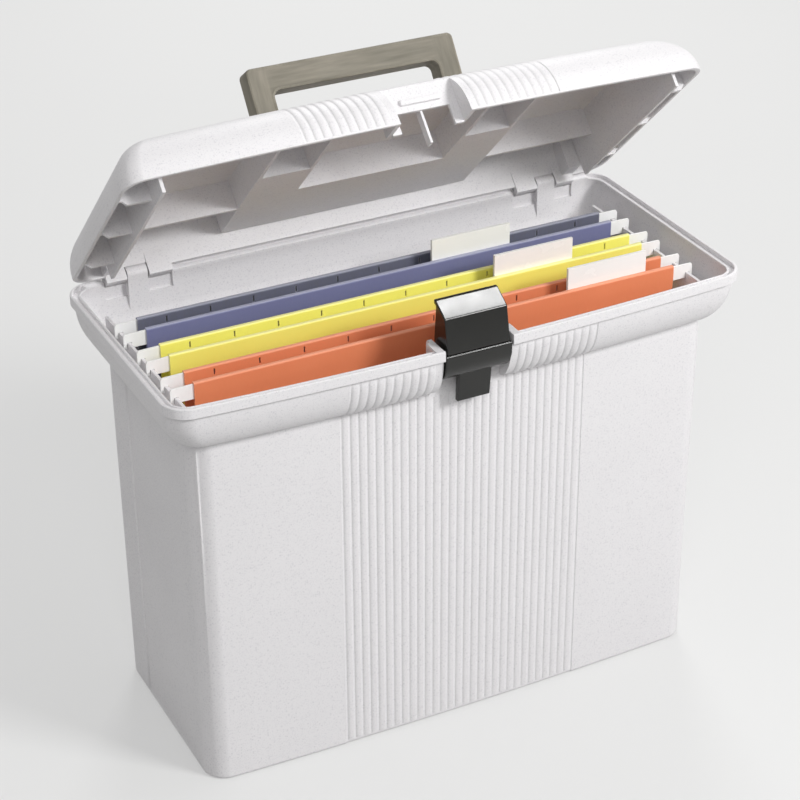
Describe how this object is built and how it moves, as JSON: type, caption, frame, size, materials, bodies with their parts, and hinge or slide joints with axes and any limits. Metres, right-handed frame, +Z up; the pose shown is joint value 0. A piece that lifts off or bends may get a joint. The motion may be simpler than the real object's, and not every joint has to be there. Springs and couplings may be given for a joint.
{
  "type": "portable file box",
  "caption": "Portable plastic file box with a hinged lid, folding carry handle, front rocker latch and hanging folders with label tabs",
  "frame": {"origin": "the middle of the flat base, where the tub rests on a surface", "axes": "+X to the right along the front, +Y to the back where the hinges are, +Z up"},
  "size_m": [0.3516, 0.1774, 0.3762],
  "materials": {
    "speckled_plastic": "fine moulded texture with a faint grey speckle",
    "handle_plastic": "satin",
    "latch_plastic": "semi-gloss",
    "steel_pin": "drawn wire",
    "blue_card": "uncoated card stock",
    "yellow_card": "uncoated card stock",
    "red_card": "uncoated card stock",
    "hanger_white": "smooth",
    "tab_clear": "clear tab over paper",
    "label_paper": "blank paper"
  },
  "bodies": {
    "tub": {"tub": "speckled_plastic", "hinge_pin_left": "steel_pin", "hinge_pin_right": "steel_pin", "latch_pin": "steel_pin"},
    "lid": {"lid": "speckled_plastic"},
    "handle": {"handle": "handle_plastic"},
    "latch": {"latch": "latch_plastic"},
    "back_folder": {"back_folder_sheet": "blue_card", "back_folder_front_bar": "hanger_white", "back_folder_rear_bar": "hanger_white", "back_folder_tab": "tab_clear", "back_folder_label": "label_paper"},
    "middle_folder": {"middle_folder_sheet": "yellow_card", "middle_folder_front_bar": "hanger_white", "middle_folder_rear_bar": "hanger_white", "middle_folder_tab": "tab_clear", "middle_folder_label": "label_paper"},
    "front_folder": {"front_folder_sheet": "red_card", "front_folder_front_bar": "hanger_white", "front_folder_rear_bar": "hanger_white", "front_folder_tab": "tab_clear", "front_folder_label": "label_paper"}
  },
  "joints": [
    {"name": "lid_hinge", "type": "hinge", "parent": "tub", "child": "lid", "pos_m": [0, 0.0778, 0.256], "axis": [-1, 0, 0], "range_deg": [-44, 50]},
    {"name": "handle_hinge", "type": "hinge", "parent": "lid", "child": "handle", "pos_m": [0, 0.04086, 0.31823], "axis": [1, 0, 0], "range_deg": [-98.9, 15]},
    {"name": "latch_pivot", "type": "hinge", "parent": "tub", "child": "latch", "pos_m": [0, -0.0768, 0.24], "axis": [1, 0, 0], "range_deg": [0, 12]},
    {"name": "back_folder_slide", "type": "slide", "parent": "tub", "child": "back_folder", "axis": [0, 1, 0], "range_m": [-0.0075, 0.02]},
    {"name": "middle_folder_slide", "type": "slide", "parent": "tub", "child": "middle_folder", "axis": [0, 1, 0], "range_m": [-0.0075, 0.0075]},
    {"name": "front_folder_slide", "type": "slide", "parent": "tub", "child": "front_folder", "axis": [0, 1, 0], "range_m": [-0.012, 0.0075]}
  ]
}
